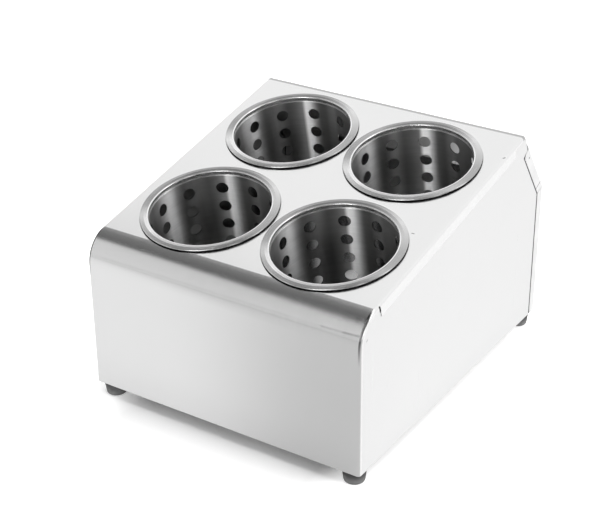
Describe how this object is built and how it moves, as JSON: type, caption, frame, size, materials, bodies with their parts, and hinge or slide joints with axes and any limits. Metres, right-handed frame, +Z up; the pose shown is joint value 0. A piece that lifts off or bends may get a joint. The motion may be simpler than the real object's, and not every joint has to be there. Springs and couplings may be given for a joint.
{
  "type": "cutlery dispenser",
  "caption": "Countertop cutlery dispenser: sloping stainless sheet housing on rubber feet that holds round perforated lift-out cutlery cylinders at an angle.",
  "frame": {"origin": "on the table, under the middle of the housing", "axes": "+Z up; +X to the right seen from the front; +Y from the low front towards the high back"},
  "size_m": [0.243, 0.29, 0.1873],
  "materials": {
    "housing_sheet": "satin brushed stainless sheet, grain from the back edge over the top and down the front",
    "rim_steel": "spun and polished stainless rim, faint circular grain",
    "canister_steel": "rolled perforated stainless sheet, circumferential grain",
    "bracket_steel": "plain mill finish",
    "foot_rubber": "matt black moulded rubber",
    "fastener_steel": "bright plated steel"
  },
  "bodies": {
    "housing": {"front_top_cover": "housing_sheet", "left_side_panel": "housing_sheet", "right_side_panel": "housing_sheet", "rear_cover": "housing_sheet", "front_left_foot_bracket": "bracket_steel", "front_right_foot_bracket": "bracket_steel", "back_left_foot_bracket": "bracket_steel", "back_right_foot_bracket": "bracket_steel", "front_left_foot": "foot_rubber", "front_right_foot": "foot_rubber", "back_left_foot": "foot_rubber", "back_right_foot": "foot_rubber", "foot_inserts": "fastener_steel", "foot_screws": "fastener_steel", "foot_washers": "fastener_steel", "foot_nuts": "fastener_steel"},
    "front_left_canister": {"front_left_canister_rim": "rim_steel", "front_left_canister_tube": "canister_steel", "front_left_canister_base": "canister_steel"},
    "front_right_canister": {"front_right_canister_rim": "rim_steel", "front_right_canister_tube": "canister_steel", "front_right_canister_base": "canister_steel"},
    "back_left_canister": {"back_left_canister_rim": "rim_steel", "back_left_canister_tube": "canister_steel", "back_left_canister_base": "canister_steel"},
    "back_right_canister": {"back_right_canister_rim": "rim_steel", "back_right_canister_tube": "canister_steel", "back_right_canister_base": "canister_steel"}
  },
  "joints": [
    {"name": "front_left_canister_lift", "type": "slide", "parent": "housing", "child": "front_left_canister", "axis": [0, -0.1994, 0.9799], "range_m": [0, 0.145]},
    {"name": "front_right_canister_lift", "type": "slide", "parent": "housing", "child": "front_right_canister", "axis": [0, -0.1994, 0.9799], "range_m": [0, 0.145]},
    {"name": "back_left_canister_lift", "type": "slide", "parent": "housing", "child": "back_left_canister", "axis": [0, -0.1994, 0.9799], "range_m": [0, 0.145]},
    {"name": "back_right_canister_lift", "type": "slide", "parent": "housing", "child": "back_right_canister", "axis": [0, -0.1994, 0.9799], "range_m": [0, 0.145]}
  ]
}
